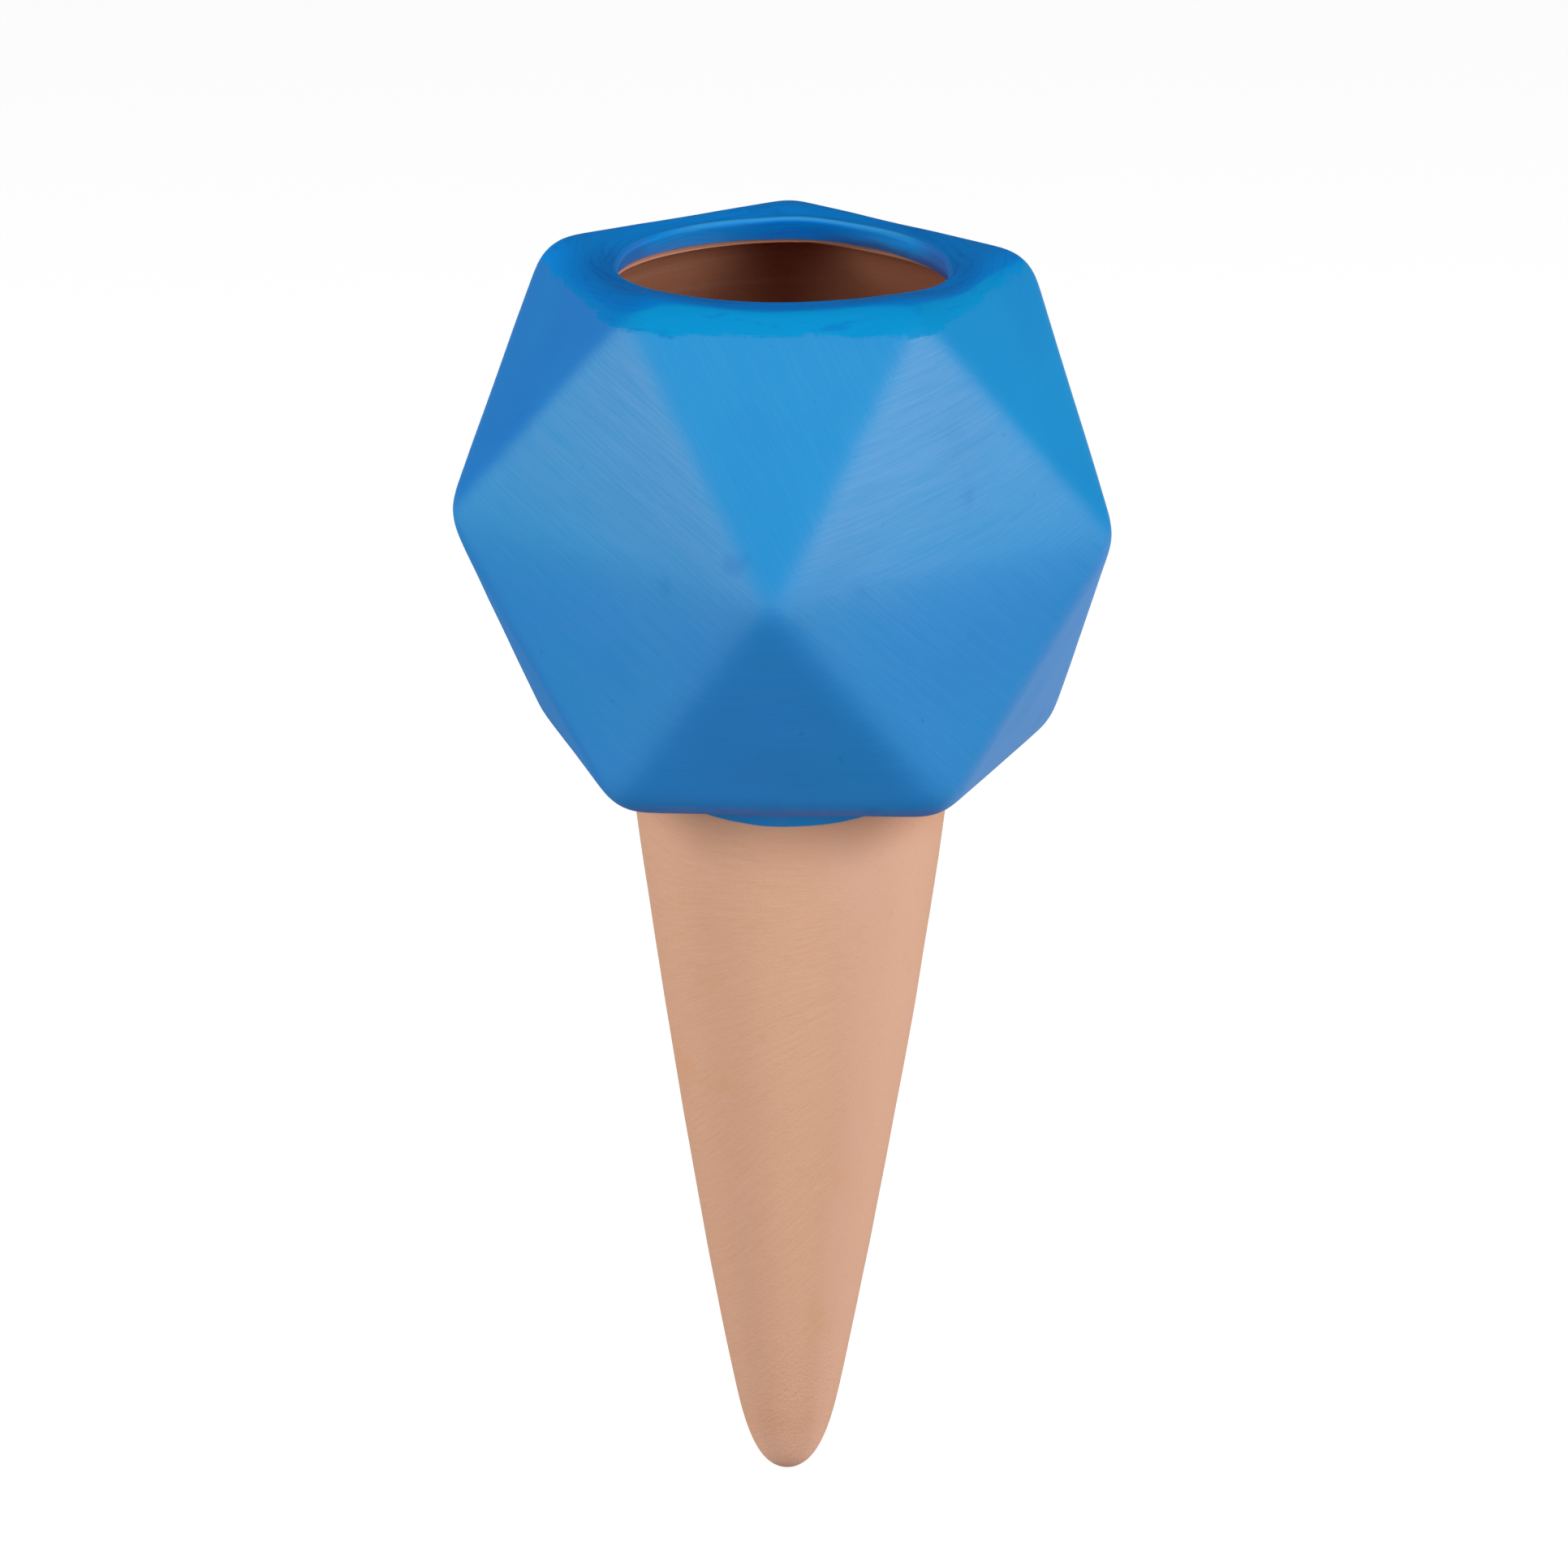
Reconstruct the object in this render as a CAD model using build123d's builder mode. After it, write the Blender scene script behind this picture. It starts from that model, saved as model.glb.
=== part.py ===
"""Self-watering plant spike: a faceted terracotta reservoir on a hollow porous spike.

Millimetres, +Z up. The origin is on the spike's axis, in the flat underside of the
reservoir, which rests on the soil. One waist corner of the reservoir faces -Y.
"""

import os
from math import cos, radians, sin

from build123d import *

# Whole object
total_height = 190.0  # rim to the tip of the spike

# Reservoir, outside, over the paint
corner_count = 5  # corners in each of the three rings
bowl_height = 76.5  # underside to rim
bowl_width = 95.0  # side to side over two waist corners
waist_height = 40.0  # underside to the plane of the waist corners
rim_reach = 38.4  # axis to a rim corner
base_reach = 40.2  # axis to a base corner
edge_radius = 7.0  # rounding of every edge and corner

# Mouth, over the paint
mouth_radius = 24.0
lip_radius = 2.0  # rounding of the mouth's upper edge
mouth_bare = 0.6  # unpainted clay above the mouth's lower edge

# Walls and layers
bowl_wall = 3.8
spike_wall = 4.5  # at the top and at the nose, a little more between, where the flank bulges
paint_thickness = 0.25
slip_thickness = 0.4  # fired slip in the joint between bowl and spike

# Spike
spike_top_radius = 23.9
shoulder_width = 2.3  # step from the flank in to the register that stands in the bowl's floor
nose_radius = 8.1  # where the long flank ends and the nose begins
nose_length = 15.0
flank_bulge = 0.93  # rise of the flank's arc over its chord
tip_radius = 4.2
paint_drop = 2.7  # how far the paint runs down the spike below the underside

# Levels and fits that follow from these sizes
tip_level = bowl_height - total_height
nose_level = tip_level + nose_length
clay_rim_level = bowl_height - paint_thickness
clay_base_level = paint_thickness
ceiling_level = clay_rim_level - bowl_wall
floor_level = clay_base_level + bowl_wall
shoulder_level = clay_base_level - slip_thickness
clay_rounding = edge_radius - paint_thickness
register_radius = spike_top_radius - shoulder_width
floor_bore_radius = register_radius + slip_thickness
bore_top_radius = spike_top_radius - spike_wall
waist_reach = (bowl_width / 2 - edge_radius) / cos(radians(90 / corner_count)) + edge_radius

corner_step = 360 / corner_count


def corner_ring(reach, level, turn):
    """Centres of the rounded corners of one ring, counted from -Y."""
    angles = [radians(turn + k * corner_step) for k in range(corner_count)]
    core_reach = reach - edge_radius
    return [(core_reach * sin(a), -core_reach * cos(a), level) for a in angles]


corner_centres = (
    corner_ring(rim_reach, bowl_height - edge_radius, corner_step / 2)
    + corner_ring(waist_reach, waist_height, 0)
    + corner_ring(base_reach, edge_radius, corner_step / 2)
)


def faceted_form(rounding):
    """Triangle-faceted form with its edges rounded: a smaller rounding lies evenly inside a larger one."""
    with BuildPart() as form:
        ConvexPolyhedron(corner_centres)
        offset(amount=rounding, kind=Kind.ARC)
    return form.part


def mouth_section(radius, lip, rim_level, bottom_level):
    """Half section of the mouth's opening, flared above by a quarter-round lip."""
    with BuildSketch(Plane.XZ) as section:
        with BuildLine():
            flare = CenterArc((radius + lip, rim_level - lip), lip, 90, 90)
            Polyline(
                flare @ 1,
                (radius, bottom_level),
                (0, bottom_level),
                (0, rim_level + lip),
                (radius + lip, rim_level + lip),
                flare @ 0,
            )
        make_face()
    return section.sketch


def neck_section(grow):
    """Half section of the joint and the spike's flank down to the nose, moved outwards by grow."""
    with BuildSketch(Plane.XZ) as section:
        with BuildLine():
            flank = SagittaArc(
                (spike_top_radius + grow, shoulder_level),
                (nose_radius + grow, nose_level),
                flank_bulge,
            )
            Polyline(
                flank @ 1,
                (0, nose_level),
                (0, clay_base_level),
                (spike_top_radius + grow, clay_base_level),
                flank @ 0,
            )
        make_face()
    return section.sketch


# Bowl: even-walled faceted reservoir with a round mouth above and a bore for the spike below
with BuildPart() as bowl:
    add(faceted_form(clay_rounding))
    add(faceted_form(clay_rounding - bowl_wall), mode=Mode.SUBTRACT)
    revolve(
        mouth_section(
            mouth_radius + paint_thickness,
            lip_radius - paint_thickness,
            clay_rim_level,
            waist_height,
        ),
        axis=Axis.Z,
        mode=Mode.SUBTRACT,
    )
    with BuildSketch(Plane.XY.offset(clay_base_level)):
        Circle(floor_bore_radius)
    extrude(amount=bowl_wall, mode=Mode.SUBTRACT)

# Spike: round tapered stake with a shoulder under the bowl and a register that stands in its floor
with BuildPart() as spike:
    with BuildSketch(Plane.XZ):
        with BuildLine():
            flank = SagittaArc(
                (spike_top_radius, shoulder_level), (nose_radius, nose_level), flank_bulge
            )
            tip_centre = Vector(0, tip_level + tip_radius)
            outward = (flank % 1).rotate(Axis.Z, 90)
            to_nose = flank @ 1 - tip_centre
            nose_arc_radius = (to_nose.length**2 - tip_radius**2) / (
                2 * (to_nose.dot(outward) - tip_radius)
            )
            nose_arc_centre = flank @ 1 - outward * nose_arc_radius
            tip_start = tip_centre + (tip_centre - nose_arc_centre).normalized() * tip_radius
            nose = TangentArc(flank @ 1, tip_start, tangent=flank % 1)
            TangentArc(tip_start, (0, tip_level), tangent=nose % 1)
            Polyline(
                (0, tip_level),
                (0, floor_level),
                (register_radius, floor_level),
                (register_radius, shoulder_level),
                flank @ 0,
            )
        make_face()
    revolve(axis=Axis.Z)
    with BuildSketch(Plane.XZ):
        with BuildLine():
            bore = Line((bore_top_radius, shoulder_level), (nose_radius - spike_wall, nose_level))
            bore_lean = radians((bore % 1).get_angle(Vector(0, -1)))
            bore_end_radius = (bore @ 1).X / cos(bore_lean)
            bore_end_level = (bore @ 1).Y + bore_end_radius * (sin(bore_lean) - 1)
            TangentArc(bore @ 1, (0, bore_end_level), tangent=bore % 1)
            Polyline(
                (0, bore_end_level),
                (0, floor_level),
                (bore_top_radius, floor_level),
                bore @ 0,
            )
        make_face()
    revolve(axis=Axis.Z, mode=Mode.SUBTRACT)

# Slip: fired ring that fills the joint, between shoulder and underside and round the register
with BuildPart() as slip_joint:
    with BuildSketch(Plane.XZ):
        with BuildLine():
            Polyline(
                (register_radius, shoulder_level),
                (spike_top_radius, shoulder_level),
                (spike_top_radius, clay_base_level),
                (floor_bore_radius, clay_base_level),
                (floor_bore_radius, floor_level),
                (register_radius, floor_level),
                close=True,
            )
        make_face()
    revolve(axis=Axis.Z)

# Paint: thin skin over the bowl's outside, rim, mouth wall and underside and the spike's neck
with BuildPart() as painted_clay:
    add(faceted_form(clay_rounding))
    revolve(
        mouth_section(
            mouth_radius + paint_thickness,
            lip_radius - paint_thickness,
            clay_rim_level,
            ceiling_level + mouth_bare,
        ),
        axis=Axis.Z,
        mode=Mode.SUBTRACT,
    )

with BuildPart() as paint_coat:
    add(faceted_form(edge_radius))
    revolve(
        mouth_section(mouth_radius, lip_radius, bowl_height, ceiling_level + mouth_bare),
        axis=Axis.Z,
        mode=Mode.SUBTRACT,
    )
    add(painted_clay.part, mode=Mode.SUBTRACT)
    with BuildSketch(Plane.XY):
        Circle(spike_top_radius)
    extrude(amount=paint_thickness, mode=Mode.SUBTRACT)
    with BuildSketch(Plane.XZ):
        add(neck_section(paint_thickness))
        add(neck_section(0), mode=Mode.SUBTRACT)
        with Locations((0, -paint_drop)):
            Rectangle(
                2 * base_reach,
                paint_drop + clay_base_level,
                align=(Align.CENTER, Align.MIN),
                mode=Mode.INTERSECT,
            )
    revolve(axis=Axis.Z)

bowl.part.label = "bowl"
spike.part.label = "spike"
slip_joint.part.label = "slip_joint"
paint_coat.part.label = "paint_coat"

os.makedirs("parts", exist_ok=True)
for piece in (bowl, spike, slip_joint, paint_coat):
    export_step(piece.part, f"parts/{piece.part.label}.step")
    print(piece.part.label, len(piece.part.solids()), "solid", round(piece.part.volume), "mm3")
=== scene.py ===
"""Self-watering plant spike: a painted, faceted clay reservoir on a bare clay spike.

Sizes are in millimetres in the classes and in metres in Blender. The origin is on the
spike's axis in the flat underside of the reservoir, +Z is up and the front faces -Y.
"""

import logging
from dataclasses import dataclass, field
from enum import Enum
from math import atan2, cos, pi, radians, sin

import bmesh
import bpy
import numpy as np
from bpy.types import bpy_prop_collection, ID, Material, Mesh, Node, NodeSocket, NodeTree, Object, World
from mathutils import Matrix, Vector


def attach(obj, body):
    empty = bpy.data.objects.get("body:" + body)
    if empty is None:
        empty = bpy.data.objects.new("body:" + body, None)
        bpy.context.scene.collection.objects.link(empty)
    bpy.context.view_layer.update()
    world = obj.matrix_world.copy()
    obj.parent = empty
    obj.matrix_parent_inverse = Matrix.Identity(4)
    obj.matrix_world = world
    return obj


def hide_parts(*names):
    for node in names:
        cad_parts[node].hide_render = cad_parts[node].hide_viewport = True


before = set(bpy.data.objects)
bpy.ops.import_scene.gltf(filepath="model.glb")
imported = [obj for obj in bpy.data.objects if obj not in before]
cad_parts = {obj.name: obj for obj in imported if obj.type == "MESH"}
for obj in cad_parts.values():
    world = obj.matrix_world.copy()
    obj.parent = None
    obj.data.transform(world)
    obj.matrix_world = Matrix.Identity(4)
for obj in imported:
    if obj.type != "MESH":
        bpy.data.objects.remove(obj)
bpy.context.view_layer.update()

log = logging.getLogger("plant_spike")

MM = 0.001
WELD = 1e-7
BODY = "root"
CORNERS = 5
MIDDLE_LEVEL = 38.25
PHOTO_SIDE = 1932
SENSOR_WIDTH = 36.0
BRUSH_MAP = "brush"
RUB_AND_SHEEN = "rub_and_sheen"
PAINTED_SHADE = "painted_shade"
TOP = "top"
THROAT = "throat"

Point = tuple[float, float]
Colour = tuple[float, float, float]


class Wire:
    """A value on its way through a node tree, with the usual signs for sums and products."""

    def __init__(self, sketch: "NodeSketch", socket: NodeSocket) -> None:
        """Keeps the tree and the socket that gives the value."""
        self.sketch = sketch
        self.socket = socket

    def __add__(self, other: "Wire | float") -> "Wire":
        """Sum of two values."""
        return self.sketch.math("ADD", self, other)

    def __sub__(self, other: "Wire | float") -> "Wire":
        """Difference of two values."""
        return self.sketch.math("SUBTRACT", self, other)

    def __rsub__(self, other: float) -> "Wire":
        """Difference of a number and this value."""
        return self.sketch.math("SUBTRACT", other, self)

    def __mul__(self, other: "Wire | float") -> "Wire":
        """Product of two values."""
        return self.sketch.math("MULTIPLY", self, other)

    def __truediv__(self, other: "Wire | float") -> "Wire":
        """Quotient of two values."""
        return self.sketch.math("DIVIDE", self, other)

    __radd__ = __add__
    __rmul__ = __mul__


class NodeSketch:
    """Short hand for writing one node tree, of a shader or of geometry."""

    def __init__(self, tree: NodeTree) -> None:
        """Starts on an empty or a new tree."""
        self.tree = tree

    def node(self, kind: str, inputs: dict | None = None, **settings: object) -> Node:
        """Adds a node.

        Args:
            kind: Blender's type name of the node.
            inputs: Numbers or wires, by the name or the place of the socket.
            settings: Properties of the node itself.

        Returns:
            The new node.
        """
        node = self.tree.nodes.new(kind)
        for name, value in settings.items():
            setattr(node, name, value)
        for name, value in (inputs or {}).items():
            if isinstance(value, Wire):
                self.tree.links.new(value.socket, node.inputs[name])
            else:
                node.inputs[name].default_value = value
        return node

    def wire(self, kind: str, inputs: dict | None = None, output: int | str = 0, **settings: object) -> Wire:
        """Adds a node as above and takes one of its outputs, by name or place."""
        return Wire(self, self.node(kind, inputs, **settings).outputs[output])

    def math(self, kind: str, *values: "Wire | float", clamp: bool = False) -> Wire:
        """One step of arithmetic, with the operation's name and its operands, held to 0 and 1 if clamped."""
        return self.wire("ShaderNodeMath", dict(enumerate(values)), operation=kind, use_clamp=clamp)

    def largest(self, first: Wire, *others: "Wire | float") -> Wire:
        """Takes the largest of some values.

        Args:
            first: The first value.
            others: The values after it.

        Returns:
            The largest.
        """
        for other in others:
            first = self.math("MAXIMUM", first, other)
        return first

    def vector_math(self, kind: str, *values: "Wire | Colour") -> Wire:
        """One step of vector arithmetic, with the operation's name and its operands."""
        return self.wire("ShaderNodeVectorMath", dict(enumerate(values)), operation=kind)

    def scaled(self, vector: Wire, factor: "Wire | float") -> Wire:
        """A vector times a number."""
        return self.wire("ShaderNodeVectorMath", {"Vector": vector, "Scale": factor}, operation="SCALE")

    def vector(self, x: "Wire | float", y: "Wire | float", z: "Wire | float") -> Wire:
        """Three numbers as a vector."""
        return self.wire("ShaderNodeCombineXYZ", {"X": x, "Y": y, "Z": z})

    def parts(self, vector: Wire) -> tuple[Wire, Wire, Wire]:
        """The three numbers of a vector."""
        node = self.node("ShaderNodeSeparateXYZ", {0: vector})
        return tuple(Wire(self, output) for output in node.outputs)

    def ramp(self, value: Wire, low: "Wire | float", high: "Wire | float") -> Wire:
        """Eases from 0 to 1 while a value runs from low to high."""
        inputs = {"Value": value, "From Min": low, "From Max": high}
        return self.wire("ShaderNodeMapRange", inputs, interpolation_type="SMOOTHSTEP")

    def span(self, value: Wire, low: float, high: float) -> Wire:
        """A ramp over a length, with its two ends in millimetres."""
        return self.ramp(value, low * MM, high * MM)

    def noise(self, at: Wire, scale: float | Colour, detail: float = 2.0, rough: float = 0.5) -> Wire:
        """Soft noise around one half.

        Args:
            at: Where the noise is read.
            scale: Waves in one unit of length, everywhere or along each axis.
            detail: Number of finer layers.
            rough: Weight of the finer layers.

        Returns:
            The noise, from about 0 to 1.
        """
        if isinstance(scale, tuple):
            at = self.vector_math("MULTIPLY", at, scale)
            scale = 1.0
        inputs = {"Vector": at, "Scale": scale, "Detail": detail, "Roughness": rough}
        return self.wire("ShaderNodeTexNoise", inputs)

    def blend(self, share: "Wire | float", low: "Wire | Colour", high: "Wire | Colour") -> Wire:
        """Mixes two colours.

        Args:
            share: How much of the second colour shows.
            low: First colour.
            high: Second colour.

        Returns:
            The mixed colour.
        """
        inputs = {0: share}
        for place, colour in ((6, low), (7, high)):
            inputs[place] = colour if isinstance(colour, Wire) else (*colour, 1.0)
        return self.wire("ShaderNodeMix", inputs, 2, data_type="RGBA")


def fresh_sketch(owner: Material | World) -> NodeSketch:
    """Clears the node tree of a material or a world.

    Args:
        owner: The material or the world.

    Returns:
        The empty tree.
    """
    owner.use_nodes = True
    owner.node_tree.nodes.clear()
    return NodeSketch(owner.node_tree)


def linked(name: str, data: ID) -> Object:
    """Adds an object at the origin of the scene.

    Args:
        name: Name of the object.
        data: Its mesh, lamp or camera.

    Returns:
        The object.
    """
    item = bpy.data.objects.new(name, data)
    bpy.context.scene.collection.objects.link(item)
    return item


class GeometryTree(NodeSketch):
    """A Geometry Nodes tree with named inputs that makes one plain mesh."""

    def __init__(self, name: str, counts: tuple[str, ...], sizes: tuple[str, ...]) -> None:
        """Makes the tree and its inputs, with a material as the last.

        Args:
            name: Name of the tree.
            counts: Names of the inputs that are whole numbers.
            sizes: Names of the inputs that are lengths, angles or shares.
        """
        super().__init__(bpy.data.node_groups.new(name, "GeometryNodeTree"))
        face = self.tree.interface
        face.new_socket("Geometry", in_out="INPUT", socket_type="NodeSocketGeometry")
        kinds = dict.fromkeys(counts, "Int") | dict.fromkeys(sizes, "Float") | {"Material": "Material"}
        self.identifiers = {
            size: face.new_socket(size, in_out="INPUT", socket_type="NodeSocket" + kind).identifier
            for size, kind in kinds.items()
        }
        face.new_socket("Geometry", in_out="OUTPUT", socket_type="NodeSocketGeometry")
        start = self.node("NodeGroupInput")
        self.given = {output.name: Wire(self, output) for output in start.outputs if output.name}

    def rings_and_turns(self, columns: Wire) -> tuple[Wire, Wire, Wire]:
        """Says where a vertex of an open cylinder belongs.

        Args:
            columns: Vertices in one ring.

        Returns:
            Number of its ring, its place in the ring, and its turn about the axis in radians.
        """
        index = self.wire("GeometryNodeInputIndex")
        ring = self.math("FLOOR", (index + 0.5) / columns)
        column = index - ring * columns
        return ring, column, column * (2 * pi) / columns

    def moved(self, mesh: Wire, to: Wire | None = None, by: Wire | None = None) -> Wire:
        """A mesh with its vertices set to a place or moved by an offset."""
        inputs = {"Geometry": mesh} | ({"Position": to} if to else {}) | ({"Offset": by} if by else {})
        return self.wire("GeometryNodeSetPosition", inputs)

    def end(self, mesh: Wire) -> None:
        """Closes the tree: welds, realizes, smooths and gives the material.

        Args:
            mesh: The finished form.
        """
        welded = self.wire("GeometryNodeMergeByDistance", {"Geometry": mesh, "Distance": WELD})
        real = self.wire("GeometryNodeRealizeInstances", {"Geometry": welded})
        smooth = self.wire("GeometryNodeSetShadeSmooth", {"Geometry": real})
        inputs = {"Geometry": smooth, "Material": self.given["Material"]}
        dressed = self.wire("GeometryNodeSetMaterial", inputs)
        self.node("NodeGroupOutput", {"Geometry": dressed})

    def make(self, name: str, points: list[Vector], sizes: dict[str, object]) -> Mesh:
        """Runs the tree on a set of points.

        Args:
            name: Name of the mesh.
            points: The geometry that goes in, in metres.
            sizes: A value for each named input.

        Returns:
            The evaluated result as a plain mesh.
        """
        seed_mesh = bpy.data.meshes.new(name)
        seed_mesh.from_pydata([tuple(p) for p in points], [], [])
        carrier = linked(name, seed_mesh)
        modifier = carrier.modifiers.new(self.tree.name, "NODES")
        modifier.node_group = self.tree
        for size, value in sizes.items():
            modifier[self.identifiers[size]] = value
        graph = bpy.context.evaluated_depsgraph_get()
        made = bpy.data.meshes.new_from_object(carrier.evaluated_get(graph), depsgraph=graph)
        carrier.modifiers.remove(modifier)
        bpy.data.objects.remove(carrier)
        bpy.data.meshes.remove(seed_mesh)
        return made


def pressed_skin_tree() -> GeometryTree:
    """Writes the tree that presses an open skin onto the faceted former.

    The corners carry balls whose hull is the former. The skin runs from the neck, where it
    turns down along the spike, over the facets to the rim, where it turns down into the mouth.

    Returns:
        The tree.
    """
    tree = GeometryTree(
        "Pressed skin",
        ("Columns", "Neck rows", "Body rows", "Mouth rows", "Softening"),
        (
            *("Edge radius", "Middle level", "Low aim", "High aim", "Pillow", "Wobble", "Seed"),
            *("Neck radius", "Neck fillet", "Neck drop", "Neck taper", "Neck wave"),
            *("Mouth shift", "Mouth forward", "Mouth stretch", "Mouth fullness", "Mouth unevenness"),
            *("Mouth dip", "Mouth drop", "Mouth lift", "Mouth flare", "Lip radius"),
            *("Bare edge", "Raggedness"),
        ),
    )
    ball_fineness, crown_blur = 5, 40
    trim_waves, wobble_waves, neck_waves = 1.7, 34.0, 3.0
    rag_waves, rag_detail, rag_rough, rag_step, mouth_rag = 2.2, 5.0, 0.62, 3.0, 0.5
    crown_width, fade_start, fade_end, steady_width = 8.0, 1.0, 9.0, 6.0
    dip_start, front_dip = 0.94, 0.45
    mean_flare, right_flare = 1.35, 0.5
    bare_least, bare_slope = 0.1, 0.8
    right_lift, right_fall, left_lift = 2.15, 1.5, 0.25

    given = tree.given
    columns, neck_rows, body_rows = given["Columns"], given["Neck rows"], given["Body rows"]
    mouth_rows, seed, edge_radius = given["Mouth rows"], given["Seed"], given["Edge radius"]
    top_ring = neck_rows + body_rows

    ball = tree.wire("GeometryNodeMeshIcoSphere", {"Radius": edge_radius, "Subdivisions": ball_fineness})
    balls = tree.wire("GeometryNodeInstanceOnPoints", {"Points": given["Geometry"], "Instance": ball})
    solid_balls = tree.wire("GeometryNodeRealizeInstances", {"Geometry": balls})
    former = tree.wire("GeometryNodeConvexHull", {"Geometry": solid_balls})
    core = tree.wire("GeometryNodeConvexHull", {"Geometry": given["Geometry"]})

    inputs = {"Vertices": columns, "Side Segments": top_ring + mouth_rows}
    sleeve = tree.wire("GeometryNodeMeshCylinder", inputs, fill_type="NONE")
    ring, column, turn = tree.rings_and_turns(columns)
    across, ahead = tree.math("SINE", turn), tree.math("COSINE", turn)
    around = tree.vector(across, ahead, seed)

    # Press the sleeve onto the former along rays from its middle
    trim = (tree.noise(around, trim_waves) - 0.5) * given["Mouth unevenness"]
    front = tree.largest(ahead, 0.0)
    full = across * across * front * given["Mouth fullness"]
    stretch = ahead * ahead * given["Mouth stretch"] + full + ahead * given["Mouth forward"]
    high = given["High aim"] - trim - stretch + across * given["Mouth shift"]
    share = tree.math("DIVIDE", ring - neck_rows, body_rows, clamp=True)
    aim = given["Low aim"] + share * (high - given["Low aim"])
    flat = tree.math("COSINE", aim)
    ray = tree.vector(across * flat, ahead * flat * -1.0, tree.math("SINE", aim))
    inputs = {
        "Target Geometry": former,
        "Source Position": tree.vector(0.0, 0.0, given["Middle level"]),
        "Ray Direction": ray,
    }
    hit = tree.wire("GeometryNodeRaycast", inputs, "Hit Position")
    pressed = tree.moved(sleeve, to=hit)

    # Soften the edges, crown the facets, let the rim dip and add the unevenness of a hand-made pot
    place = tree.wire("GeometryNodeInputPosition")
    inputs = {"Value": place, "Iterations": given["Softening"]}
    soft = tree.wire("GeometryNodeBlurAttribute", inputs, data_type="FLOAT_VECTOR")
    softened = tree.moved(pressed, to=soft)
    inputs = {"Target": core, "Source Position": place}
    from_edge = tree.wire("GeometryNodeProximity", inputs, "Distance", target_element="EDGES")
    flats = tree.ramp(from_edge, edge_radius, edge_radius + crown_width * MM)
    inputs = {"Value": flats, "Iterations": crown_blur}
    crown = tree.wire("GeometryNodeBlurAttribute", inputs, data_type="FLOAT")
    level = tree.parts(place)[2]
    rim_level = given["Middle level"] * 2.0
    below_rim = tree.ramp(level, rim_level - fade_start * MM, rim_level - fade_end * MM)
    side = tree.span(level, fade_start, fade_end) * below_rim
    seeded = tree.vector_math("ADD", place, tree.vector(seed, 0.0, 0.0))
    uneven = (tree.noise(seeded, wobble_waves) - 0.5) * 2.0
    push = crown * side * given["Pillow"] + uneven * tree.span(level, 0.0, steady_width) * given["Wobble"]
    near = tree.ramp(share, dip_start, 1.0)
    eased = near * near * (3.0 - near * 2.0)
    dip = eased * given["Mouth dip"] * (front * -front_dip - 1.0)
    pushed = tree.vector_math("ADD", tree.scaled(ray, push), tree.vector(0.0, 0.0, dip))
    shaped = tree.moved(softened, by=pushed)

    # Turn the two ends down: the neck along the spike, the lip into the mouth
    rag_place = tree.vector_math("ADD", around, tree.vector(0.0, 0.0, rag_step))
    rag = (tree.noise(rag_place, rag_waves, rag_detail, rag_rough) - 0.5) * given["Raggedness"]

    def turned_down(end_ring: Wire, way: Wire, bend: Wire, drop: Wire, radius: Wire | None = None) -> Wire:
        """Places of the rows that leave one end ring.

        Args:
            end_ring: Number of the ring that the rows leave.
            way: From 0 at that ring to 1 at the free edge.
            bend: Radius of the turn.
            drop: Height from the ring down to the free edge.
            radius: Reach of the neck's tapered wall where the turn ends, or none for the mouth's
                flared wall, which starts one bend further in.

        Returns:
            The places.
        """
        inputs = {"Value": place, "Index": end_ring * columns + column}
        start = tree.wire("GeometryNodeFieldAtIndex", inputs, data_type="FLOAT_VECTOR")
        x, y, z = tree.parts(start)
        reach = tree.math("SQRT", x * x + y * y)
        angle = tree.math("MULTIPLY", way, 2.0, clamp=True) * (pi / 2)
        fall = tree.math("SUBTRACT", way * 2.0, 1.0, clamp=True) * (drop - bend)
        inward = reach - radius if radius else bend
        flare = given["Mouth flare"] * (across * right_flare - mean_flare)
        taper = given["Neck taper"] if radius else flare
        new_reach = reach - inward * tree.math("SINE", angle) - taper * fall
        new_level = z - bend * (1.0 - tree.math("COSINE", angle)) - fall
        grow = new_reach / reach
        return tree.vector(x * grow, y * grow, new_level)

    neck_way = tree.math("SUBTRACT", 1.0, ring / tree.largest(neck_rows, 1.0), clamp=True)
    neck_drop = given["Neck drop"] + tree.math("COSINE", turn * neck_waves) * given["Neck wave"] + rag
    neck = turned_down(neck_rows, neck_way, given["Neck fillet"], neck_drop, given["Neck radius"])
    from_lip = (ring - top_ring) / tree.largest(mouth_rows, 1.0)
    bared = given["Bare edge"] * (bare_least - across * bare_slope - ahead * bare_slope)
    bare = tree.largest(bared + rag * mouth_rag, 0.0)
    right = tree.largest(across, 0.0)
    lift = given["Mouth lift"] * (right * (right_lift - right * right_fall) - across * left_lift)
    mouth_drop = given["Mouth drop"] - lift - bare
    mouth = turned_down(top_ring, tree.largest(from_lip, 0.0), given["Lip radius"], mouth_drop)
    inputs = {"Switch": tree.math("GREATER_THAN", ring, top_ring), "False": place, "True": mouth}
    with_mouth = tree.wire("GeometryNodeSwitch", inputs, input_type="VECTOR")
    inputs = {"Switch": tree.math("LESS_THAN", ring, neck_rows), "False": with_mouth, "True": neck}
    finished = tree.moved(shaped, to=tree.wire("GeometryNodeSwitch", inputs, input_type="VECTOR"))
    inputs = {"Geometry": finished, "Name": THROAT, "Value": from_lip}
    tree.end(tree.wire("GeometryNodeStoreNamedAttribute", inputs))
    return tree


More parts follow.
